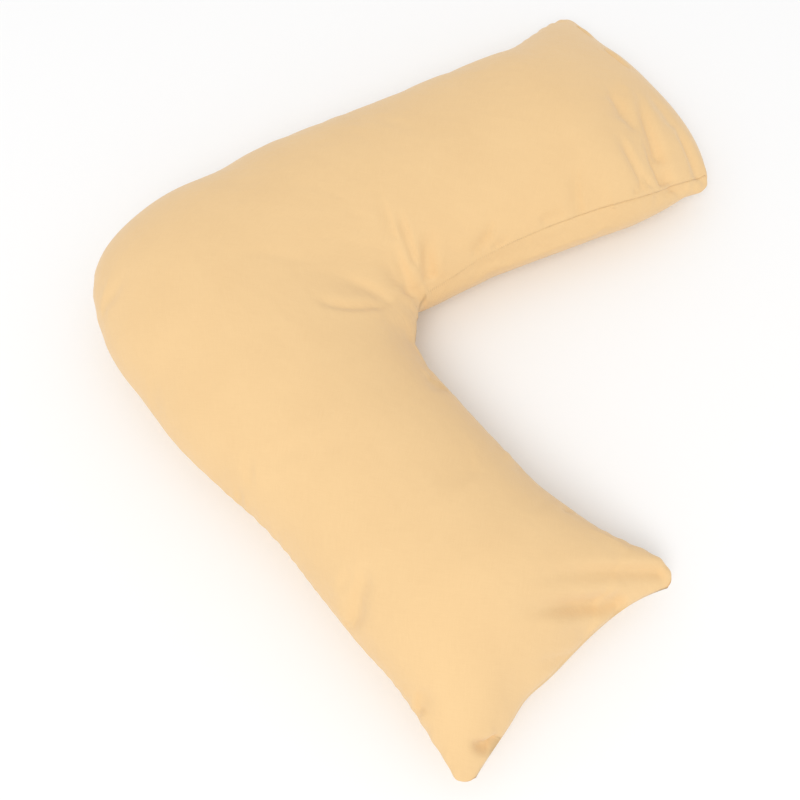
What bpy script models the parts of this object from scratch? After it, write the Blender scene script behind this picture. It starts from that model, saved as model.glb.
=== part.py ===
# V-shaped bed pillow: two V-shaped cotton panels sewn together all the way round and filled with
# loose fibre. It lies on its back on a level surface, so its underside is flat there.
# Metres, +Z up. The V opens towards +X; the near arm runs to -Y and the far arm to +Y.
# The origin is on the surface, under the middle of the pillow's own box.

import math

import bmesh
import bpy
import numpy as np

# Driving dimensions, in metres unless the name ends in Deg
sideLength = 0.840        # each outer side, from the corner where the two would meet to the arm's end
armAngleDeg = 77.0        # between the two arms
armWidth = 0.306          # across a filled arm at seam height
crotchRadius = 0.037      # rounding of the inner corner
cornerRadius = 0.178      # rounding of the outer corner
seamHeight = 0.072        # of the seam above the surface, along the arms
endSeamHeight = 0.050     # of the seam at the arms' ends, where the filling thins out
underDepth = 0.088        # from the seam down to where a fully round underside would reach
endRun = 0.165            # length over which an arm thins from its full height to its end seam
origin = (0.490, 0.009)   # in the plan, from the corner where the outer sides would meet

# Shape of the sections, as powers: of the oval's rise, and of the thinning towards the end seams
ovalPower = 1.06
thinningPower = 0.62

# The seam that joins the two panels runs round both sides of every section
seamDraw = 0.003          # how far it is drawn in
rollRun = 0.060           # length, from an arm's end, over which the rolled seam comes back level

# One row for each main section, from the near arm's end, round the bend, to the far arm's end.
# path: metres along the arms' centre line, counted from the middle of the bend
# outer, inner: how much further the outer and inner sides reach than on the plain V, in millimetres
# crown: height of the top above the seam's own level, in millimetres
# roll: how far the inner side's seam is rolled up round the section, in degrees
sectionColumns = ("path", "outer", "inner", "crown", "roll")
sectionRows = (
    (-0.574,   6,  27,  96,  0),
    (-0.554,   1,  25,  98,  0),
    (-0.534,  -2,  16, 100,  0),
    (-0.494,  -8,  -3, 102,  0),
    (-0.454,  -9, -16, 103,  0),
    (-0.414, -10, -23, 104,  0),
    (-0.334, -12, -22, 104,  0),
    (-0.254, -17, -19, 104,  0),
    (-0.214, -14, -15, 104,  0),
    (-0.174, -10,  -3, 104,  0),
    (-0.119,  -2,   4, 105,  0),
    (-0.080,  -8,   7, 106,  0),
    (-0.040, -13,   8, 107,  0),
    (0.000,   -3,   8, 106,  3),
    (0.040,  -13,   8, 103,  8),
    (0.080,  -15,   6,  99, 14),
    (0.119,   -7,   4,  95, 19),
    (0.174,   -5,   7,  90, 24),
    (0.254,   -8,   5,  84, 27),
    (0.334,   -8,  10,  80, 28),
    (0.414,  -10,  18,  79, 28),
    (0.474,  -11,  23,  78, 28),
    (0.514,    2,  21,  77, 28),
    (0.554,   17,  17,  76, 28),
    (0.584,   22,  18,  76, 28),
)

# How finely the surface is divided. One row for each place along the path between which the sections
# change their gap, in millimetres; then further sections close to each end, by their distance from
# it in metres, and the points round one section.
gapColumns = ("path", "gap")
gapRows = (
    (-0.60,  8),
    (-0.42,  9),
    (-0.36, 18),
    (-0.18, 16),
    (0.18,  16),
    (0.36,  18),
    (0.42,  9),
    (0.60,  8),
)
endSteps = (0.013, 0.007, 0.003, 0.0)
roundCount = 64

# One row for each arm's end, in millimetres.
# reach: how much longer the arm is than the plain V, bow: how far the middle of the end seam stands
# out past its two corners (drawn in where negative), skew: how much further the inner corner reaches
# than the outer one, ear: rounding of the two corners
endColumns = ("side", "reach", "bow", "skew", "ear")
endRows = (
    (-1,  4, -19, -5, 19),
    (1,  18,  28,  9, 17),
)
bowLean = 0.35            # share by which the bow leans to the inner half of the end seam
bowPower = 2.5            # how squarely the bow falls off at the two corners

# One row for each main fold of the top, a soft trough along a line of the plan.
# rootX, rootY: where it starts, at the seam or in the crotch; tipX, tipY: where it runs out,
# all in metres from the corner where the outer sides would meet
# width: half its breadth, depth: how deep it is drawn in (a ridge where negative), in millimetres
foldColumns = ("rootX", "rootY", "tipX", "tipY", "width", "depth")
foldRows = (
    # the fan of folds that runs out of the crotch
    (0.514, -0.012, 0.392, -0.060,  9,  9),
    (0.510, -0.005, 0.408,  0.000, 10,  6),
    (0.515,  0.001, 0.432,  0.070, 10,  7),
    (0.521,  0.012, 0.460,  0.116, 10,  9),
    (0.532,  0.026, 0.512,  0.102, 10,  7),
    (0.528, -0.036, 0.452, -0.112, 14,  5),
    # the creases across the far arm's end, and the broad sag that they lie in
    (0.800,  0.222, 0.700,  0.385, 26,  6),
    (0.778,  0.231, 0.712,  0.326, 10,  5),
    (0.811,  0.233, 0.712,  0.378, 10,  9),
    (0.838,  0.255, 0.752,  0.388, 10, -4),
    (0.858,  0.278, 0.778,  0.392, 10,  6),
    # the creases that run in from the near arm's end seam
    (0.850, -0.275, 0.640, -0.346, 12, -4),
    (0.822, -0.299, 0.640, -0.368, 11,  8),
    (0.772, -0.354, 0.680, -0.396, 11,  5),
    (0.690, -0.476, 0.640, -0.492, 11,  9),
    # the trough at the rounded outer corner, and the soft hollow beside the near arm's outer seam
    (0.138, -0.064, 0.174,  0.004, 11,  6),
    (0.514, -0.402, 0.530, -0.310, 18,  6),
)
rootRise = 0.10           # share of a fold's length over which it reaches its depth, from its root
tipRun = 0.60             # share over which it runs out, towards its tip
topFacing = 0.40          # upward part of the skin's direction from which a fold has its full depth

coverColour = (0.896, 0.624, 0.328, 1.0)
coverRoughness = 0.85

halfAngle = math.radians(armAngleDeg) / 2
bendAngle = math.pi - 2 * halfAngle
pathRadius = crotchRadius + armWidth / 2
halfBend = pathRadius * bendAngle / 2
# The bend turns about this point, on the V's own line of symmetry
crotchCentre = (pathRadius + armWidth / 2) / math.sin(halfAngle)
plainEnd = sideLength - crotchCentre * math.cos(halfAngle) + halfBend


def column(rows, columns, name):
    """One named column of a table, as an array."""
    return np.array([row[columns.index(name)] for row in rows], dtype=float)


def smoothColumn(name, path):
    """A section column read at any place along the path: cubic pieces through the rows."""
    at = column(sectionRows, sectionColumns, "path")
    value = column(sectionRows, sectionColumns, name)
    slope = np.gradient(value, at)
    k = np.clip(np.searchsorted(at, path) - 1, 0, len(at) - 2)
    step = at[k + 1] - at[k]
    t = np.clip((path - at[k]) / step, 0.0, 1.0)
    return (value[k] * (1 + 2 * t) * (1 - t) ** 2 + slope[k] * step * t * (1 - t) ** 2
            + value[k + 1] * t * t * (3 - 2 * t) - slope[k + 1] * step * t * t * (1 - t))


def smoothStep(t):
    """Rises from 0 to 1 with level ends."""
    t = np.clip(t, 0.0, 1.0)
    return t * t * (3 - 2 * t)


def plainOuterReach(path):
    """Distance from the turning point of the bend to the outer side of the plain rounded V."""
    turn = np.minimum(np.abs(path), halfBend) / pathRadius
    straight = (pathRadius + armWidth / 2) / np.cos(bendAngle / 2 - turn)
    arcCentre = crotchCentre - cornerRadius / math.sin(halfAngle)
    along = arcCentre * np.cos(turn)
    rounded = along + np.sqrt(np.maximum(along ** 2 - arcCentre ** 2 + cornerRadius ** 2, 0.0))
    tangent = math.atan2(cornerRadius * math.sin(bendAngle / 2),
                         arcCentre + cornerRadius * math.cos(bendAngle / 2))
    return np.where(turn < tangent, rounded, straight)


def pathFrame(path):
    """Places of the centre line, its outward directions and its forward directions in the plan."""
    turn = np.clip(path, -halfBend, halfBend) / pathRadius
    beyond = path - np.clip(path, -halfBend, halfBend)
    outward = np.stack([-np.cos(turn), np.sin(turn)], axis=-1)
    forward = np.stack([np.sin(turn), np.cos(turn)], axis=-1)
    place = np.array([crotchCentre, 0.0]) + pathRadius * outward + beyond[..., None] * forward
    return place, outward, forward


def endColumn(name, path):
    """A column of the two ends' rows, for whichever arm each place is on, in metres."""
    near, far = column(endRows, endColumns, name) / 1000
    return np.where(path < 0, near, far)


def sectionPaths():
    """Places of the sections along the path, as far apart as the gap rows and end steps say."""
    steps = np.array(endSteps)
    nearEnd, farEnd = plainEnd + column(endRows, endColumns, "reach") / 1000
    fine = np.linspace(-nearEnd + steps[0], farEnd - steps[0], 2001)
    gap = np.interp(fine, column(gapRows, gapColumns, "path"),
                    column(gapRows, gapColumns, "gap") / 1000)
    passed = np.concatenate([[0.0], np.cumsum(np.diff(fine) * 2 / (gap[1:] + gap[:-1]))])
    wanted = np.linspace(0.0, passed[-1], round(passed[-1]) + 1)
    between = np.interp(wanted, passed, fine)
    return np.concatenate([steps[:0:-1] - nearEnd, between, farEnd - steps[1:]])


def plainSkin(path, angle):
    """The skin without folds, for a column of places along the path and a row of angles round it.

    A section is an oval between the inner and the outer side, flat underneath where it meets the
    surface. Towards an arm's end its height falls like the end of an ellipse, down to the seam.
    The angle is 0 at the outer side's seam and half a turn at the inner side's, over the top.
    """
    fromEnd = plainEnd + endColumn("reach", path) - np.abs(path)
    roll = np.radians(smoothColumn("roll", path)) * smoothStep(fromEnd / rollRun)
    angle = angle - roll * (1 - np.cos(angle)) / 2

    ear = endColumn("ear", path)
    corner = np.clip(ear - fromEnd, 0.0, ear)
    cornerCut = ear - np.sqrt(ear ** 2 - corner ** 2)
    outer = plainOuterReach(path) - pathRadius + smoothColumn("outer", path) / 1000 - cornerCut
    inner = armWidth / 2 + smoothColumn("inner", path) / 1000 - cornerCut
    middle = (outer - inner) / 2
    half = (outer + inner) / 2

    across = np.cos(angle)
    rise = np.abs(np.sin(angle)) ** ovalPower * np.sign(np.sin(angle))
    endShare = np.clip(fromEnd / endRun, 0.0, 1.0)
    fullness = (1 - (1 - endShare) ** 2) ** thinningPower
    seam = endSeamHeight + (seamHeight - endSeamHeight) * smoothStep(endShare)
    crown = smoothColumn("crown", path) / 1000
    height = seam + np.where(rise > 0, crown, underDepth) * fullness * rise
    height = np.maximum(height, 0.0)

    bow = endColumn("bow", path) * (1 - np.abs(across) ** bowPower) * (1 - bowLean * across)
    shift = (bow - endColumn("skew", path) / 2 * across) * smoothStep(1 - endShare)
    place, outward, forward = pathFrame(path)
    plan = (place + (middle + half * across)[..., None] * outward
            + (shift * np.sign(path))[..., None] * forward)
    return np.concatenate([plan, height[..., None]], axis=-1)


def foldDepth(points):
    """How far each point of the top is drawn in by the folds: each a trough with a bell profile."""
    total = np.zeros(points.shape[:-1])
    for row in foldRows:
        fold = dict(zip(foldColumns, row))
        root = np.array([fold["rootX"], fold["rootY"]])
        run = np.array([fold["tipX"], fold["tipY"]]) - root
        along = ((points[..., :2] - root) @ run) / (run @ run)
        nearest = root + np.clip(along, 0.0, 1.0)[..., None] * run
        away = np.linalg.norm(points[..., :2] - nearest, axis=-1)
        fade = smoothStep(along / rootRise) * smoothStep((1 - along) / tipRun)
        total += fold["depth"] / 1000 * fade * np.exp(-(away * 1000 / fold["width"]) ** 2)
    return total


def skinNormals(points):
    """Outward directions of the grid's points, from the two directions that the grid runs in."""
    alongGrid = np.gradient(points, axis=0)
    aroundGrid = np.roll(points, -1, axis=1) - np.roll(points, 1, axis=1)
    normal = np.cross(aroundGrid, alongGrid)
    length = np.linalg.norm(normal, axis=-1, keepdims=True)
    return normal / np.maximum(length, 1e-12)


def skinGrid(path, angle):
    """The finished skin as a grid of points, with its folds and its seam drawn in."""
    points = plainSkin(path[:, None], angle[None, :])
    normal = skinNormals(points)
    drawn = foldDepth(points) * smoothStep(normal[..., 2] / topFacing)
    drawn += seamDraw * np.isin(angle, (0.0, math.pi))
    drawn[[0, -1]] = 0.0
    points = points - normal * drawn[..., None]
    points[..., :2] -= origin
    return points


def buildMesh(name):
    """A closed mesh over the grid, sewn flat along the seam at each end.

    Each cell is split along the diagonal whose middle lies closer to the true skin, so that the
    edges follow the folds. Cells that lie flat on the surface stay whole.
    """
    path = sectionPaths()
    angle = np.linspace(0.0, 2 * math.pi, roundCount, endpoint=False)
    points = skinGrid(path, angle)
    centres = skinGrid((path[1:] + path[:-1]) / 2, angle + math.pi / roundCount)
    after = np.roll(points, -1, axis=1)
    rising = np.linalg.norm((points[:-1] + after[1:]) / 2 - centres, axis=-1)
    falling = np.linalg.norm((points[1:] + after[:-1]) / 2 - centres, axis=-1)

    bm = bmesh.new()
    half = roundCount // 2
    rings = []
    for i in range(len(path)):
        ring = [bm.verts.new(point) for point in points[i, :half + 1]]
        if i in (0, len(path) - 1):
            ring += ring[half - 1:0:-1]
        else:
            ring += [bm.verts.new(point) for point in points[i, half + 1:]]
        rings.append(ring)
    for i in range(len(path) - 1):
        for j in range(roundCount):
            k = (j + 1) % roundCount
            cell = (rings[i][j], rings[i + 1][j], rings[i + 1][k], rings[i][k])
            if max(corner.co.z for corner in cell) == 0.0:
                bm.faces.new(cell)
            elif rising[i, j] < falling[i, j]:
                bm.faces.new(cell[:3])
                bm.faces.new((cell[0], cell[2], cell[3]))
            else:
                bm.faces.new((cell[0], cell[1], cell[3]))
                bm.faces.new(cell[1:])
    bmesh.ops.recalc_face_normals(bm, faces=bm.faces)
    mesh = bpy.data.meshes.new(name)
    bm.to_mesh(mesh)
    bm.free()
    mesh.shade_smooth()
    return mesh


def coverMaterial():
    """Plain pale peach cotton."""
    material = bpy.data.materials.new("peach_cotton")
    material.use_nodes = True
    shader = material.node_tree.nodes["Principled BSDF"]
    shader.inputs["Base Color"].default_value = coverColour
    shader.inputs["Roughness"].default_value = coverRoughness
    shader.inputs["Metallic"].default_value = 0.0
    material.diffuse_color = coverColour
    return material


def main():
    for item in list(bpy.data.objects):
        bpy.data.objects.remove(item)
    mesh = buildMesh("v_pillow")
    mesh.materials.append(coverMaterial())
    pillow = bpy.data.objects.new("v_pillow", mesh)
    bpy.context.scene.collection.objects.link(pillow)


main()
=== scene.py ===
import math

import bpy
import numpy as np
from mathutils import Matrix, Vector


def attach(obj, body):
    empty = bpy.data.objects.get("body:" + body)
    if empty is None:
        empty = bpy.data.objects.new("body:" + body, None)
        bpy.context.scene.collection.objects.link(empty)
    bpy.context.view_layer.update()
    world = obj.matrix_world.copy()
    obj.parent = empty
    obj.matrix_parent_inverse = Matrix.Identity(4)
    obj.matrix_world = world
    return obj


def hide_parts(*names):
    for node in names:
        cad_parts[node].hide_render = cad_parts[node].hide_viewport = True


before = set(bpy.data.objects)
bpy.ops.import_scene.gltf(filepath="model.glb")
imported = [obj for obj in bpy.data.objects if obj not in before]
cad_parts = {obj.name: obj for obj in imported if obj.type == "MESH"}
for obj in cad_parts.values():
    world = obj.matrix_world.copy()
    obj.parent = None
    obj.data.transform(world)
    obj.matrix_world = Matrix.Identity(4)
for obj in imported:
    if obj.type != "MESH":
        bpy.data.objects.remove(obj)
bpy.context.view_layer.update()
scene = bpy.context.scene


shot = {
    "bearingDeg": -80.1,              # of the camera from the target, anticlockwise from +X
    "heightDeg": 64.6,                # of the camera above the target
    "distance": 1.33,                 # metres
    "target": (0.030, -0.119, 0.072),
    "lens": 50.04, "sensor": 36,      # millimetres
    "clipStart": 0.05, "clipEnd": 50,
}


# Looks at the target from the given bearing, height and distance
def makeCamera(shot):
    bearing, height = math.radians(shot["bearingDeg"]), math.radians(shot["heightDeg"])
    back = Vector((math.cos(height) * math.cos(bearing), math.cos(height) * math.sin(bearing),
                   math.sin(height)))
    camera = bpy.data.objects.new("camera", bpy.data.cameras.new("camera"))
    scene.collection.objects.link(camera)
    camera.data.lens = shot["lens"]
    camera.data.sensor_width = shot["sensor"]
    camera.data.clip_start, camera.data.clip_end = shot["clipStart"], shot["clipEnd"]
    camera.location = Vector(shot["target"]) + back * shot["distance"]
    camera.rotation_euler = back.to_track_quat("Z", "Y").to_euler()
    scene.camera = camera


makeCamera(shot)
print("camera placed")


# Plan measures are counted from the corner where the two outer sides would meet, as in the part's
# own drawing; origin is where the frame's origin lies in that plan.
pillow = {
    "sideLength": 0.840, "armAngleDeg": 77.0, "armWidth": 0.306,
    "crotchRadius": 0.037, "cornerRadius": 0.178,
    "seamHeight": 0.072, "endSeamHeight": 0.050, "underDepth": 0.088, "endRun": 0.165,
    "ovalPower": 1.06, "thinningPower": 0.62, "underThinning": 0.85, "rollRun": 0.012,
    "bowLean": 0.35, "bowPower": 2.5,
    "origin": (0.490, 0.009),
    # path in metres; outer, inner and crown in millimetres; roll of the inner seam in degrees
    "sectionColumns": ("path", "outer", "inner", "crown", "roll"),
    "sectionRows": (
        (-0.574,   6,  27,  96,  0), (-0.554,   1,  25,  98,  0), (-0.534,  -2,  16, 100,  0),
        (-0.494,  -8,  -3, 102,  0), (-0.454, -11, -16, 103,  0), (-0.414, -10, -23, 104,  0),
        (-0.334, -13, -22, 104,  0), (-0.254, -17, -19, 104,  0), (-0.214, -15, -16, 104,  0),
        (-0.174, -10,  -5, 104,  0), (-0.119,  -3,   4, 105,  0), (-0.080,  -9,   7, 106,  0),
        (-0.040, -13,   8, 107,  0), (0.000,   -5,   8, 106,  0), (0.040,  -15,   8, 103,  0),
        (0.080,  -15,   5,  99,  1), (0.119,   -4,   3,  95,  5), (0.174,   -3,   5,  90, 13),
        (0.254,   -6,   4,  84, 20), (0.334,   -5,   9,  80, 24), (0.414,   -7,  17,  79, 24.5),
        (0.474,   -8,  23,  78, 24), (0.514,    5,  21,  77, 22.5), (0.554,   19,  17,  76, 22),
        (0.584,   24,  18,  76, 23),
    ),
    # one row for each arm's end, near then far, in millimetres; a notch is where the end seam is
    # drawn in at one place, and its place and breadth are shares of the end's half width
    "endColumns": ("reach", "bow", "skew", "outerEar", "innerEar", "notch", "notchAt", "notchBreadth"),
    "endRows": ((6.5, -19, -5, 19, 19, 4.5, 350, 170), (20, 28, 9, 17, 24, 4.5, 600, 200)),
}
# The skin's grid. Its lines stand closer together where a stretch below adds its closeness to 1
grid = {
    "sections": 384, "round": 256,    # lines along the path and round each section
    "pathSamples": 4001, "angleSamples": 2001,     # fine steps from which their places are read
    "endCloseness": 3.0, "endStretch": 0.015,      # at an arm's end seam
    "armCloseness": 0.7, "armStretch": 0.16,       # where an arm's end is folded
    "bendCloseness": 0.8, "bendStretch": 0.16, "bendMiddle": 0.03,
    "seamCloseness": 2.2, "seamStretch": 0.10,     # beside the two long seams, in radians
}
halfAngle = math.radians(pillow["armAngleDeg"]) / 2
bendAngle = math.pi - 2 * halfAngle
halfWidth = pillow["armWidth"] / 2
pathRadius = pillow["crotchRadius"] + halfWidth
halfBend = pathRadius * bendAngle / 2
turningPoint = (pathRadius + halfWidth) / math.sin(halfAngle)
plainEnd = pillow["sideLength"] - turningPoint * math.cos(halfAngle) + halfBend


# One named column of a table
def column(rows, columns, name):
    return np.array([row[columns.index(name)] for row in rows], dtype=float)


# Rises from 0 to 1 with level ends
def smoothStep(t):
    t = np.clip(t, 0.0, 1.0)
    return t * t * (3 - 2 * t)


# Cubic pieces through a section column's values, each with the slope of its neighbours
def sectionValue(name, path):
    at = column(pillow["sectionRows"], pillow["sectionColumns"], "path")
    value = column(pillow["sectionRows"], pillow["sectionColumns"], name)
    slope = np.gradient(value, at)
    k = np.clip(np.searchsorted(at, path) - 1, 0, len(at) - 2)
    step = at[k + 1] - at[k]
    t = np.clip((path - at[k]) / step, 0.0, 1.0)
    return (value[k] * (1 + 2 * t) * (1 - t) ** 2 + slope[k] * step * t * (1 - t) ** 2
            + value[k + 1] * t * t * (3 - 2 * t) - slope[k + 1] * step * t * t * (1 - t))


# The near arm's value where the path is negative, the far arm's elsewhere, in metres
def endValue(name, path):
    near, far = column(pillow["endRows"], pillow["endColumns"], name) / 1000
    return np.where(path < 0, near, far)


# Distance from the bend's turning point to the outer side: a straight line seen at the turn's
# angle, or the circle that rounds the corner where that comes first
def outerReach(path):
    turn = np.minimum(np.abs(path), halfBend) / pathRadius
    straight = (pathRadius + halfWidth) / np.cos(bendAngle / 2 - turn)
    radius = pillow["cornerRadius"]
    arcCentre = turningPoint - radius / math.sin(halfAngle)
    along = arcCentre * np.cos(turn)
    rounded = along + np.sqrt(np.maximum(along ** 2 - arcCentre ** 2 + radius ** 2, 0.0))
    tangent = math.atan2(radius * math.sin(bendAngle / 2),
                         arcCentre + radius * math.cos(bendAngle / 2))
    return np.where(turn < tangent, rounded, straight)


# The centre line: straight, an arc of pathRadius about the turning point, and straight again
def pathFrame(path):
    turn = np.clip(path, -halfBend, halfBend) / pathRadius
    beyond = path - np.clip(path, -halfBend, halfBend)
    outward = np.stack([-np.cos(turn), np.sin(turn)], axis=-1)
    forward = np.stack([np.sin(turn), np.cos(turn)], axis=-1)
    place = np.array([turningPoint, 0.0]) + pathRadius * outward + beyond[..., None] * forward
    return place, outward, forward


# Splits a length so that the lines stand closer where the wanted closeness is higher: the running
# total of closeness, cut into equal shares
def spreadLines(at, closeness, count):
    run = np.concatenate([[0.0], np.cumsum((closeness[1:] + closeness[:-1]) / 2 * np.diff(at))])
    return np.interp(np.linspace(0, run[-1], count + 1), run, at)


# Places along the path, closer at both ends and in the bend, and angles round it, closer at the seams
def gridLines():
    reach = column(pillow["endRows"], pillow["endColumns"], "reach") / 1000
    at = np.linspace(-plainEnd - reach[0], plainEnd + reach[1], grid["pathSamples"])
    toEnd = np.minimum(at - at[0], at[-1] - at)
    closeness = 1 + grid["endCloseness"] * np.exp(-(toEnd / grid["endStretch"]) ** 2)
    closeness = closeness + grid["armCloseness"] * np.exp(-(toEnd / grid["armStretch"]) ** 4)
    fromBend = (at - grid["bendMiddle"]) / grid["bendStretch"]
    closeness = closeness + grid["bendCloseness"] * np.exp(-fromBend ** 4)
    path = spreadLines(at, closeness, grid["sections"])
    at = np.linspace(0, math.pi, grid["angleSamples"])
    toSeam = np.minimum(at, math.pi - at)
    closeness = 1 + grid["seamCloseness"] * np.exp(-(toSeam / grid["seamStretch"]) ** 2)
    half = spreadLines(at, closeness, grid["round"] // 2)
    return path, np.concatenate([half[:-1], half[:-1] + math.pi])


# What a quarter circle of radius ear takes off a square corner
def cornerCut(ear, fromEnd):
    return ear - np.sqrt(ear ** 2 - np.clip(ear - fromEnd, 0.0, ear) ** 2)


# An oval across the arm, from cosine and powered sine of the angle, flat where it would go under the
# surface; its height falls towards the arm's end like an ellipse, and the end seam bows and skews
def plainSkin(path, angle):
    path, angle = path[:, None], angle[None, :]
    fromEnd = plainEnd + endValue("reach", path) - np.abs(path)
    roll = np.radians(sectionValue("roll", path)) * smoothStep(fromEnd / pillow["rollRun"])
    angle = angle - roll * (1 - np.cos(angle)) / 2
    outer = outerReach(path) - pathRadius + sectionValue("outer", path) / 1000
    outer = outer - cornerCut(endValue("outerEar", path), fromEnd)
    inner = halfWidth + sectionValue("inner", path) / 1000
    inner = inner - cornerCut(endValue("innerEar", path), fromEnd)
    across = np.cos(angle)
    rise = np.abs(np.sin(angle)) ** pillow["ovalPower"] * np.sign(np.sin(angle))
    endShare = np.clip(fromEnd / pillow["endRun"], 0.0, 1.0)
    thinning = np.where(np.sin(angle) > 0, pillow["thinningPower"], pillow["underThinning"])
    fullness = (1 - (1 - endShare) ** 2) ** thinning
    seam = (pillow["endSeamHeight"]
            + (pillow["seamHeight"] - pillow["endSeamHeight"]) * smoothStep(endShare))
    crown = sectionValue("crown", path) / 1000
    height = np.maximum(seam + np.where(rise > 0, crown, pillow["underDepth"]) * fullness * rise, 0.0)
    bow = endValue("bow", path) * (1 - np.abs(across) ** pillow["bowPower"])
    bow = bow * (1 - pillow["bowLean"] * across)
    offNotch = (across - endValue("notchAt", path)) / endValue("notchBreadth", path)
    bow = bow - endValue("notch", path) * np.exp(-offNotch ** 2)
    shift = (bow - endValue("skew", path) / 2 * across) * smoothStep(1 - endShare)
    place, outward, forward = pathFrame(path)
    plan = (place + ((outer - inner) / 2 + (outer + inner) / 2 * across)[..., None] * outward
            + (shift * np.sign(path))[..., None] * forward)
    return np.concatenate([plan, height[..., None]], axis=-1)


# Outward directions, from the cross product of the grid's two directions
def skinNormals(points):
    alongGrid = np.gradient(points, axis=0)
    aroundGrid = np.roll(points, -1, axis=1) - np.roll(points, 1, axis=1)
    normal = np.cross(aroundGrid, alongGrid)
    return normal / np.maximum(np.linalg.norm(normal, axis=-1, keepdims=True), 1e-12)


# Plan millimetres. Each row is one fold: where it starts at a seam, its middle and its tip, half its
# breadth, how deep it is drawn in, or how far it stands out where that is negative, and how many
# hundredths broader its left side is than its middle measure
folds = {
    "rootRise": 0.12,                 # share of a fold's length over which it reaches its depth
    "tipRun": 0.55,                   # share over which it runs out towards its tip
    "shoulder": 0.30,                 # height of the soft ridges beside a fold, as a share of it
    "shoulderBreadth": 2.1,           # how much broader these are than the fold
    "topFacing": 0.40,                # upward part of the skin's direction for the full depth
    "bellEnd": 3,                     # breadths beyond which a bell counts as nought
    "linePoints": 9,                  # along each fold's curve
    "columns": ("rootX", "rootY", "middleX", "middleY", "tipX", "tipY", "breadth", "depth", "lean"),
    "rows": (
        # the fan that runs out of the inner corner
        (490, -15, 440, -45, 400, -35, 7, 5, -10),
        (495, -15, 460, -5, 415, -10, 10, 4.5, 20),
        (498, 17, 485, 30, 465, 55, 10, 4, 20),
        (514, 14, 497, 38, 480, 72, 9, 6, 20),
        (515, 45, 495, 80, 480, 110, 6, 5.5, 30),
        (485, 65, 470, 95, 450, 130, 7.5, 3, 60),
        (535, 40, 525, 65, 530, 100, 10, 10, 15),
        (528, 30, 545, 47, 575, 65, 12, 3.5, -20),
        (560, -35, 515, -35, 475, -50, 35, 8.5, 50),
        # small folds along the far arm's inner seam
        (580, 80, 595, 115, 600, 125, 5.5, 5, 60),
        (590, 95, 595, 105, 595, 115, 5.5, 4, 30),
        (600, 100, 615, 110, 620, 125, 4.5, 3, 50),
        (545, 50, 710, 165, 745, 190, 27, 7, 0),
        (655, 145, 670, 155, 695, 170, 7, 4, 0),
        (710, 170, 695, 195, 690, 240, 7.5, 5, 60),
        (765, 215, 775, 225, 770, 235, 5, 4, 30),
        # the creases across the far arm's end
        (765, 300, 730, 345, 715, 355, 10, 5.5, 0),
        (808, 270, 773, 333, 758, 390, 8, 8, 10),
        (790, 228, 755, 263, 738, 290, 8, 7.5, 40),
        (808, 243, 790, 268, 768, 315, 14, 12, -50),
        (825, 245, 815, 260, 800, 260, 10, 5, 10),
        (860, 275, 830, 325, 812, 350, 8, 8, 0),
        (815, 340, 790, 370, 765, 405, 10, 3.5, 10),
        (845, 270, 810, 240, 790, 215, 5.5, 5, 30),
        (815, 280, 765, 325, 755, 370, 35, 7, 55),
        (740, 305, 735, 360, 740, 380, 15, 5, 30),
        (785, 225, 770, 245, 740, 280, 4.5, -4.5, -60),
        # two tucks along the far end's seam
        (670, 525, 680, 510, 695, 495, 5, 8, 0),
        (710, 465, 730, 445, 755, 430, 5.5, 9, 0),
        # the folds that run in from the near arm's end
        (855, -265, 790, -285, 660, -340, 9, 10, 0),
        (810, -295, 765, -315, 700, -345, 8, -3.5, 0),
        (815, -305, 755, -335, 670, -365, 11, 14, -50),
        (780, -340, 755, -340, 740, -365, 70, 4.5, -50),
        (755, -370, 750, -380, 715, -385, 7, 5, 40),
        (745, -385, 730, -390, 695, -410, 6, 2.5, 30),
        # the tuck at the near arm's outer tip
        (693, -473, 676, -488, 652, -483, 6.5, 15, 0),
        # the rounded outer corner
        (145, -60, 150, -45, 155, -20, 5, -1.5, 0),
        (145, -70, 165, -55, 180, -25, 8, 3.5, 0),
        # the near arm's outer side
        (520, -400, 520, -360, 535, -345, 13, 8, 0),
        (510, -390, 510, -380, 515, -340, 14, -4.5, 60),
        (500, -365, 505, -350, 510, -345, 6, 3.5, 0),
        (600, -470, 600, -455, 600, -445, 9, 6, -60),
        (360, -280, 362, -270, 365, -260, 5, 4, 0),
        (375, -260, 375, -250, 370, -230, 5.5, 2.5, 10),
        # the near arm's inner side
        (570, -100, 565, -110, 550, -125, 17, 5.5, -55),
        (545, -80, 555, -95, 545, -115, 4.5, 3, 30),
        (655, -175, 655, -180, 660, -200, 10.5, -4, 15),
        (680, -190, 672, -187, 665, -195, 4.5, 3, 0),
        (715, -210, 695, -240, 690, -255, 6.5, 1.5, 0),
        (735, -230, 728, -228, 725, -240, 6, 4, 15),
        (625, -215, 605, -230, 595, -265, 22, 3.5, -50),
        (805, -250, 775, -245, 750, -243, 5, -2, 60),
    ),
}
seam = {
    "depth": 0.0013,                  # of the groove where the two panels meet
    "breadth": 0.0016,                # half of it
    "endDepth": 0.0006,               # of the groove across an arm's end
    "endLighter": 0.0007,             # added to the distance from an end seam, so that its painted shade and its stitches show less
    "flatFrom": 0.27, "flatRun": 0.19,    # the inner seam lies flat before this, near the crotch
    "puckerDepth": 0.0007,            # of the small gathers on both sides of the seam
    "puckerReach": 0.012,             # how far they run into the panels
    "puckerPitch": 0.017,
    "pitchDrift": 2.3, "pitchDriftRate": 41.0,     # how unevenly the gathers are spaced
    "evenShare": 0.6, "unevenShare": 0.4, "unevenRate": 23.0, "unevenStart": 1.0,    # their strength
    "sidePhase": 2,                   # between the outer and the inner seam's gathers
}


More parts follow.
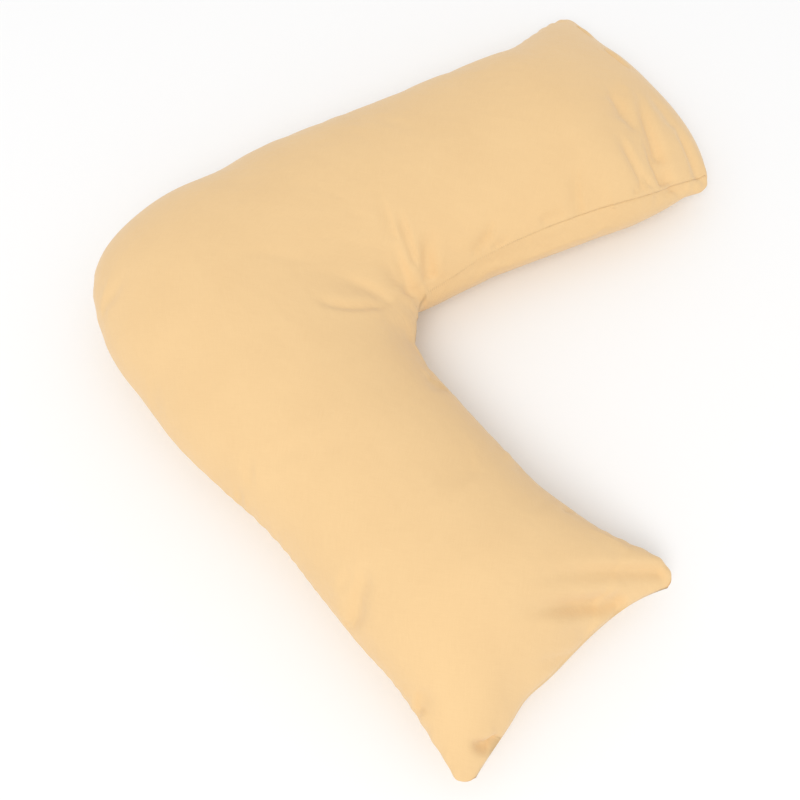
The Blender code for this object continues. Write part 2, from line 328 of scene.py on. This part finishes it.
# The nearest place on a bent line of short straight pieces: distance to it, share of the line, and 1
# on the line's left or -1 on its right
def distanceToLine(points, line):
    best = np.full(points.shape[:-1], np.inf)
    share, side = np.zeros(points.shape[:-1]), np.zeros(points.shape[:-1])
    for k in range(len(line) - 1):
        run = line[k + 1] - line[k]
        t = np.clip(((points - line[k]) @ run) / (run @ run), 0.0, 1.0)
        off = points - line[k] - t[..., None] * run
        away = np.linalg.norm(off, axis=-1)
        share = np.where(away < best, (k + t) / (len(line) - 1), share)
        side = np.where(away < best, np.sign(run[0] * off[..., 1] - run[1] * off[..., 0]), side)
        best = np.minimum(best, away)
    return best, share, side


# How far the folds draw the skin in: each has a bell profile with a broader, lower bell taken off it,
# so that soft ridges stand beside it, and follows a parabola through its root, middle and tip
def foldDepth(points, normal):
    total = np.zeros(points.shape[:-1])
    for row in folds["rows"]:
        fold = dict(zip(folds["columns"], row))
        root, middle, tip = (np.array([fold[place + "X"], fold[place + "Y"]]) / 1000
                             for place in ("root", "middle", "tip"))
        breadth, depth, lean = fold["breadth"] / 1000, fold["depth"] / 1000, fold["lean"] / 100
        t = np.linspace(0, 1, folds["linePoints"])[:, None]
        control = 2 * middle - (root + tip) / 2
        line = root * (1 - t) ** 2 + 2 * control * t * (1 - t) + tip * t * t
        reach = folds["bellEnd"] * breadth * folds["shoulderBreadth"] * (1 + abs(lean))
        near = np.all((points[..., :2] > line.min(0) - reach) & (points[..., :2] < line.max(0) + reach),
                      axis=-1) & (normal[..., 2] > 0)
        away, share, side = distanceToLine(points[near][:, :2], line)
        away = away / (1 + side * lean)
        fade = smoothStep(share / folds["rootRise"]) * smoothStep((1 - share) / folds["tipRun"])
        bell = np.exp(-(away / breadth) ** 2)
        shoulder = np.exp(-(away / breadth / folds["shoulderBreadth"]) ** 2)
        total[near] += depth * fade * (bell - folds["shoulder"] * shoulder)
    return total * smoothStep(normal[..., 2] / folds["topFacing"])


# Distance from every point, round its section, to the outer and the inner seam
def seamDistance(points):
    step = np.linalg.norm(np.roll(points, -1, axis=1) - points, axis=-1)
    run = np.concatenate([np.zeros((len(points), 1)), np.cumsum(step, axis=1)], axis=1)
    away = [np.abs(run[:, :-1] - run[:, line:line + 1]) for line in (0, points.shape[1] // 2)]
    return [np.minimum(a, run[:, -1:] - a) for a in away]


# Distance of each section from its arm's end, along the path
def endDistance(path):
    return plainEnd + endValue("reach", path) - np.abs(path)


# The seam's groove is a bell about the seam, and its gathers are an uneven wave along it that rises and
# dies away beside it
def seamDepth(points, path):
    total = np.zeros(points.shape[:-1])
    flat = smoothStep((np.abs(path) - seam["flatFrom"]) / seam["flatRun"])
    for share, k, away in zip((1 + 0 * path, flat), (0, 1), seamDistance(points)):
        total += seam["depth"] * share[:, None] * np.exp(-(away / seam["breadth"]) ** 2)
        drift = seam["pitchDrift"] * np.sin(path * seam["pitchDriftRate"])
        wave = np.sin(2 * math.pi * path / seam["puckerPitch"] + drift + seam["sidePhase"] * k)
        uneven = seam["unevenShare"] * np.sin(path * seam["unevenRate"] + seam["unevenStart"])
        wave = wave * (seam["evenShare"] + uneven) * share
        total += (seam["puckerDepth"] * wave[:, None] * (away / seam["puckerReach"])
                  * np.exp(1 - (away / seam["puckerReach"]) ** 2))
    return total


# Where each point lies on the flat cut cloth, in metres: its section's place on the centre line, and
# across it by the length over the panel; the second map is the distance along and from the seam
def clothMaps(points, path):
    half = points.shape[1] // 2
    closed = np.concatenate([points, points[:, :1]], axis=1)
    step = np.linalg.norm(np.diff(closed, axis=1), axis=-1)
    centre, outward, forward = pathFrame(path)
    across = []
    for panel in (step[:, :half], step[:, half:][:, ::-1]):
        run = np.concatenate([np.zeros((len(points), 1)), np.cumsum(panel, axis=1)], axis=1)
        across.append(run[:, -1:] / 2 - run)
    across = np.concatenate([across[0][:, :-1], across[1][:, ::-1]], axis=1)
    cloth = centre[:, None] + across[..., None] * outward[:, None]
    fromEnd = endDistance(path)[:, None] + seam["endLighter"] + 0 * step
    away = np.minimum.reduce(seamDistance(points) + [fromEnd])
    away = np.concatenate([away, away[:, :1]], axis=1)
    along = np.broadcast_to(path[:, None], away.shape)
    return {"cloth": cloth, "seam": np.stack([along, away], axis=-1)}


# Faces between neighbouring grid lines; an end's two halves share their points, so it is sewn shut
def meshFromGrid(name, points, maps=None):
    rows, count = points.shape[:2]
    number = np.arange(rows * count).reshape(rows, count)
    mirrored = (count - np.arange(count)) % count
    fold = np.arange(count) > count // 2
    for end in (0, rows - 1):
        number[end, fold] = number[end, mirrored[fold]]
    used, number = np.unique(number, return_inverse=True)
    number = number.reshape(rows, count)
    after = np.roll(number, -1, axis=1)
    faces = np.stack([number[:-1], after[:-1], after[1:], number[1:]], axis=-1).reshape(-1, 4)
    mesh = bpy.data.meshes.new(name)
    mesh.from_pydata(points.reshape(-1, 3)[used], [], faces)
    mesh.polygons.foreach_set("use_smooth", np.ones(len(faces), dtype=bool))
    for title, uv in (maps or {}).items():
        corners = np.stack([uv[:-1, :-1], uv[:-1, 1:], uv[1:, 1:], uv[1:, :-1]], axis=2)
        mesh.uv_layers.new(name=title).data.foreach_set("uv", corners.reshape(-1))
    mesh.update()
    return mesh, number


filling = {
    "stride": 2,                      # the simulated net takes every second line of the grid
    "pressure": 4.0,
    "steps": 20,
    "tension": 15.0, "compression": 15.0, "shear": 5.0, "bending": 0.5,
    "slack": 0.008,                   # how much longer the cloth is than the shape it fills
    "smaller": 0.002,                 # how far inside the finished skin the net's middle starts
    "seamRun": 0.30,                  # angle from a seam, in radians, over which points come free
    "endRun": 0.035,                  # distance from an arm's end over which they do
    "broadReach": 9,                  # lines over which its movement counts as broad swelling
    "broadShare": 0.25,               # share of the broad swelling that is kept
    "wrinkleShare": 0.50,             # and of the wrinkles
    "most": 0.008,                    # furthest that a point may move
    "restingBelow": 0.0005,           # points this low lie on the surface and stay there
}


# Twice as many lines: each new one is 9/16 of its two neighbours less 1/16 of the next two
def doubled(field, closed):
    first, last = (field[-1:], field[:2]) if closed else (field[:1], field[-1:])
    wide = np.concatenate([first, field, last])
    count = len(field) if closed else len(field) - 1
    between = (9 * (wide[1:count + 1] + wide[2:count + 2]) - wide[:count] - wide[3:count + 3]) / 16
    out = np.empty((len(field) + count,) + field.shape[1:])
    out[0::2], out[1::2] = field, between
    return out


# The mean over a bell of neighbours, 0.9 of the reach broad and cut off at three times it, along the
# path and round the closed section
def smoothed(field, reach):
    near = np.arange(-3 * reach, 3 * reach + 1)
    bell = np.exp(-(near / (0.9 * reach)) ** 2)
    bell = bell / bell.sum()
    rows = np.clip(np.arange(len(field))[:, None] + near, 0, len(field) - 1)
    field = np.einsum("ikjc,k->ijc", field[rows], bell)
    columns = (np.arange(field.shape[1])[:, None] + near) % field.shape[1]
    return np.einsum("ijkc,k->ijc", field[:, columns], bell)


# Blows the net up as a cloth under pressure and gives how far each point of the fine grid moves
def inflated(points, normal, path, angle):
    step = filling["stride"]
    inward = filling["smaller"] * np.maximum(np.sin(angle[::step]), 0.0)[:, None]
    net = points[::step, ::step] - inward * normal[::step, ::step]
    net[..., 2] = np.maximum(net[..., 2], 0.0)
    mesh, number = meshFromGrid("net", net)
    cloth = bpy.data.objects.new("net", mesh)
    scene.collection.objects.link(cloth)
    half = net.shape[1] // 2
    resting = number[points[::step, ::step, 2] < filling["restingBelow"]]
    still = np.concatenate([resting, number[:, 0], number[:, half], number[0], number[-1]])
    held = cloth.vertex_groups.new(name="held")
    held.add([int(k) for k in np.unique(still)], 1.0, "REPLACE")
    modifier = cloth.modifiers.new("cloth", "CLOTH")
    settings = modifier.settings
    settings.use_pressure = True
    settings.uniform_pressure_force = filling["pressure"]
    settings.effector_weights.gravity = 0.0
    settings.tension_stiffness = filling["tension"]
    settings.compression_stiffness = filling["compression"]
    settings.shear_stiffness = filling["shear"]
    settings.bending_stiffness = filling["bending"]
    settings.vertex_group_mass = "held"
    settings.shrink_min = -filling["slack"]
    for f in range(1, filling["steps"] + 1):
        scene.frame_set(f)
    shape = cloth.evaluated_get(bpy.context.evaluated_depsgraph_get()).data
    moved = np.empty(len(shape.vertices) * 3)
    shape.vertices.foreach_get("co", moved)
    moved = moved.reshape(-1, 3)[number] - net
    bpy.data.objects.remove(cloth)
    bpy.data.meshes.remove(mesh)
    scene.frame_set(1)
    size = np.linalg.norm(moved, axis=-1, keepdims=True)
    print("cloth moved, mm: mean", (size.mean() * 1000).round(2), "most", (size.max() * 1000).round(2))
    moved = smoothed(moved, 1)
    broad = smoothed(moved, filling["broadReach"])
    moved = filling["broadShare"] * broad + filling["wrinkleShare"] * (moved - broad)
    fromEnd = endDistance(path[::step])
    free = smoothStep(np.abs(np.sin(angle[::step])) / math.sin(filling["seamRun"]))
    free = free * smoothStep(fromEnd / filling["endRun"])[:, None]
    moved = moved * free[..., None] + net - points[::step, ::step]
    size = np.linalg.norm(moved, axis=-1, keepdims=True)
    moved = moved * np.tanh(size / filling["most"]) * filling["most"] / np.maximum(size, 1e-9)
    return doubled(doubled(moved, False).swapaxes(0, 1), True).swapaxes(0, 1)


path, angle = gridLines()
skin = plainSkin(path, angle)
normal = skinNormals(skin)
skin = skin + inflated(skin, normal, path, angle)
skin[..., 2] = np.maximum(skin[..., 2], 0.0)
normal = skinNormals(skin)
print("filling blown up")
drawn = foldDepth(skin, normal) + seamDepth(skin, path)
drawn[[0, -1]] = 0.0
maps = clothMaps(skin, path)
skin = skin - normal * drawn[..., None]
endGroove = seam["endDepth"] * np.exp(-(endDistance(path) / seam["breadth"]) ** 2) * np.sign(path)
skin[..., :2] -= endGroove[:, None, None] * pathFrame(path)[2][:, None]
skin[..., :2] -= pillow["origin"]
skin[..., 2] = np.maximum(skin[..., 2], 0.0)
mesh = meshFromGrid("pillow cover", skin, maps)[0]
cover = bpy.data.objects.new("pillow_cover", mesh)
scene.collection.objects.link(cover)
print("pillow cover:", len(mesh.polygons), "faces")


cotton = {
    "paleColour": (0.845, 0.588, 0.304, 1.0),
    "deepColour": (0.765, 0.514, 0.255, 1.0),
    # painted shade: this darker colour along the seams stands in for the shadow in their grooves
    "seamShadeColour": (0.620, 0.390, 0.175, 1.0),
    "slubTone": 0.55, "cloudTone": 0.55, "weaveTone": 0.30,    # shares of the step from deep to pale
    "seamShadeShare": 0.36,                # share of the painted seam shade's colour on the seam itself
    "seamFrom": 0.0002, "seamTo": 0.0015,          # distances over which that share fades
    "flatSeamShadeShare": 0.2,             # what is left of it where the inner seam lies flat
    "seamShadeUnevenness": 2.4,
    "roughness": 0.85, "roughClouds": 0.15, "roughSlubs": 0.10,
    "specular": 0.3, "sheen": 0.25, "sheenRoughness": 0.45,
    "slubsAcross": 1500.0, "slubsAlong": 45.0,     # for each metre, across and along a thread
    "weftShift": 7.0,                 # so that the weft's slubs aren't the warp's, turned
    "cloudsEachWay": 14.0, "crumplesEachWay": 55.0,    # for each metre of cloth
    "threadPitch": 0.00042,           # of the plain weave, in metres
    "threadHeight": 0.00005,
    "slubHeight": 0.00006,
    "crumpleHeight": 0.0010,          # of the soft small creases that no fold row gives
    "stitchPitch": 0.0028,
    "stitchHeight": 0.00025,
    "stitchFrom": 0.001, "stitchTo": 0.006,        # distances from the seam over which they fade
}


# A node with its settings; each socket is given a value, or linked where that is another's output
def addNode(tree, kind, *sockets, **settings):
    node = tree.nodes.new("ShaderNode" + kind)
    for name, value in settings.items():
        setattr(node, name, value)
    for name, value in sockets:
        if isinstance(value, bpy.types.NodeSocket):
            tree.links.new(value, node.inputs[name])
        else:
            node.inputs[name].default_value = value
    return node


def maths(tree, operation, first, second=0.0, third=0.0):
    return addNode(tree, "Math", (0, first), (1, second), (2, third), operation=operation).outputs[0]


# A wave of the given length: the sine of pi times the place over it
def threadWave(tree, place, pitch):
    return maths(tree, "SINE", maths(tree, "MULTIPLY", place, math.pi / pitch))


# Plain weave: warp and weft threads are rounded ridges, and the product of their two waves says
# which one lies on top at a crossing
def weaveHeight(tree, across, along, pitch):
    warp, weft = threadWave(tree, across, pitch), threadWave(tree, along, pitch)
    over = maths(tree, "MULTIPLY_ADD", maths(tree, "MULTIPLY", warp, weft), 0.5, 0.5)
    warpPart = maths(tree, "MULTIPLY", maths(tree, "ABSOLUTE", warp), over)
    weftPart = maths(tree, "MULTIPLY", maths(tree, "ABSOLUTE", weft), maths(tree, "SUBTRACT", 1.0, over))
    return maths(tree, "ADD", warpPart, weftPart)


# Noise about nought, stretched by a scale for each direction of the cloth
def clothNoise(tree, place, scale, detail, roughness=0.5):
    stretched = addNode(tree, "VectorMath", (0, place), (1, scale), operation="MULTIPLY").outputs[0]
    noise = addNode(tree, "TexNoise", ("Vector", stretched), ("Scale", 1.0), ("Detail", detail),
                    ("Roughness", roughness))
    return maths(tree, "SUBTRACT", noise.outputs[0], 0.5)


# Tone from the threads, slubs and clouds, with painted shade darkening the seam; the same patterns raise
# the surface
def makeCotton(cotton):
    material = bpy.data.materials.new("peach cotton")
    material.use_nodes = True
    tree = material.node_tree
    shader = tree.nodes["Principled BSDF"]
    cloth = addNode(tree, "UVMap", uv_map="cloth").outputs[0]
    plane = addNode(tree, "SeparateXYZ", (0, cloth))
    seamPlace = addNode(tree, "SeparateXYZ", (0, addNode(tree, "UVMap", uv_map="seam").outputs[0]))
    weave = weaveHeight(tree, plane.outputs[0], plane.outputs[1], cotton["threadPitch"])
    across, along, shift = cotton["slubsAcross"], cotton["slubsAlong"], cotton["weftShift"]
    warpSlubs = clothNoise(tree, cloth, (across, along, 0.0), 2.0)
    weftSlubs = clothNoise(tree, cloth, (along, across, shift), 2.0)
    slubs = maths(tree, "ADD", warpSlubs, weftSlubs)
    clouds = clothNoise(tree, cloth, (cotton["cloudsEachWay"], cotton["cloudsEachWay"], 0.0), 3.0)
    crumples = clothNoise(tree, cloth, (cotton["crumplesEachWay"], cotton["crumplesEachWay"], 0.0), 2.0)

    tone = maths(tree, "MULTIPLY_ADD", slubs, cotton["slubTone"], 0.5)
    tone = maths(tree, "MULTIPLY_ADD", clouds, cotton["cloudTone"], tone)
    tone = maths(tree, "SUBTRACT", tone, cotton["weaveTone"] / 2)
    tone = maths(tree, "MULTIPLY_ADD", weave, cotton["weaveTone"], tone)
    body = addNode(tree, "Mix", (0, tone), (6, cotton["deepColour"]), (7, cotton["paleColour"]),
                   data_type="RGBA", clamp_factor=True).outputs[2]
    # painted shade along the seams: the seam shade colour is mixed in near each seam, weaker where the
    # inner seam lies flat, and uneven with the clouds
    seamShade = addNode(tree, "MapRange", (0, seamPlace.outputs[1]), (1, cotton["seamFrom"]),
                     (2, cotton["seamTo"]), (3, cotton["seamShadeShare"]), (4, 0.0),
                     interpolation_type="SMOOTHSTEP").outputs[0]
    fromBend = maths(tree, "ABSOLUTE", seamPlace.outputs[0])
    seamShadeStrength = addNode(tree, "MapRange", (0, fromBend), (1, seam["flatFrom"]),
                   (2, seam["flatFrom"] + seam["flatRun"]), (3, cotton["flatSeamShadeShare"]),
                   (4, 1.0)).outputs[0]
    seamShadeStrength = maths(tree, "MULTIPLY_ADD", clouds, cotton["seamShadeUnevenness"], seamShadeStrength)
    seamShade = maths(tree, "MULTIPLY", seamShade, seamShadeStrength)
    coloured = addNode(tree, "Mix", (0, seamShade), (6, body), (7, cotton["seamShadeColour"]),
                       data_type="RGBA").outputs[2]
    tree.links.new(coloured, shader.inputs["Base Color"])

    nearSeam = addNode(tree, "MapRange", (0, seamPlace.outputs[1]), (1, cotton["stitchFrom"]),
                       (2, cotton["stitchTo"]), (3, 1.0), (4, 0.0),
                       interpolation_type="SMOOTHSTEP").outputs[0]
    stitches = maths(tree, "ABSOLUTE", threadWave(tree, seamPlace.outputs[0], cotton["stitchPitch"]))
    height = maths(tree, "MULTIPLY", weave, cotton["threadHeight"])
    height = maths(tree, "MULTIPLY_ADD", slubs, cotton["slubHeight"], height)
    height = maths(tree, "MULTIPLY_ADD", crumples, cotton["crumpleHeight"], height)
    height = maths(tree, "MULTIPLY_ADD", maths(tree, "MULTIPLY", stitches, nearSeam),
                   cotton["stitchHeight"], height)
    bump = addNode(tree, "Bump", ("Strength", 1.0), ("Distance", 1.0), ("Height", height))
    tree.links.new(bump.outputs[0], shader.inputs["Normal"])

    rough = maths(tree, "MULTIPLY_ADD", clouds, cotton["roughClouds"], cotton["roughness"])
    rough = maths(tree, "MULTIPLY_ADD", slubs, cotton["roughSlubs"], rough)
    tree.links.new(rough, shader.inputs["Roughness"])
    shader.inputs["Sheen Weight"].default_value = cotton["sheen"]
    shader.inputs["Sheen Roughness"].default_value = cotton["sheenRoughness"]
    shader.inputs["Specular IOR Level"].default_value = cotton["specular"]
    return material


cover.data.materials.append(makeCotton(cotton))
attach(cover, "root")
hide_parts("v_pillow")
print("cotton made")


studio = {
    "floorHalf": 6,
    "floorColour": (0.91, 0.91, 0.91, 1.0),
    "floorRoughness": 0.9,
    "skyColour": (1, 1, 1, 1),
    "skyStrength": 0.83,
    "keyPlace": (-0.12, -3.99, 5.49),
    "keySize": 3.2,
    "keyPower": 172.0,
}


# A pale floor, an even sky and one broad light from the camera's side
def makeStudio(studio):
    half = studio["floorHalf"]
    floor = bpy.data.objects.new("floor", bpy.data.meshes.new("floor"))
    floor.data.from_pydata([(-half, -half, 0), (half, -half, 0), (half, half, 0), (-half, half, 0)],
                           [], [(0, 1, 2, 3)])
    material = bpy.data.materials.new("white floor")
    material.use_nodes = True
    shader = material.node_tree.nodes["Principled BSDF"]
    shader.inputs["Base Color"].default_value = studio["floorColour"]
    shader.inputs["Roughness"].default_value = studio["floorRoughness"]
    floor.data.materials.append(material)
    scene.collection.objects.link(floor)
    world = bpy.data.worlds.new("studio")
    world.use_nodes = True
    background = world.node_tree.nodes["Background"]
    background.inputs["Color"].default_value = studio["skyColour"]
    background.inputs["Strength"].default_value = studio["skyStrength"]
    scene.world = world
    light = bpy.data.lights.new("key", "AREA")
    light.size = studio["keySize"]
    light.energy = studio["keyPower"]
    key = bpy.data.objects.new("key", light)
    key.location = studio["keyPlace"]
    key.rotation_euler = Vector(studio["keyPlace"]).to_track_quat("Z", "Y").to_euler()
    scene.collection.objects.link(key)
    scene.view_settings.view_transform = "Standard"


makeStudio(studio)
print("studio lit")
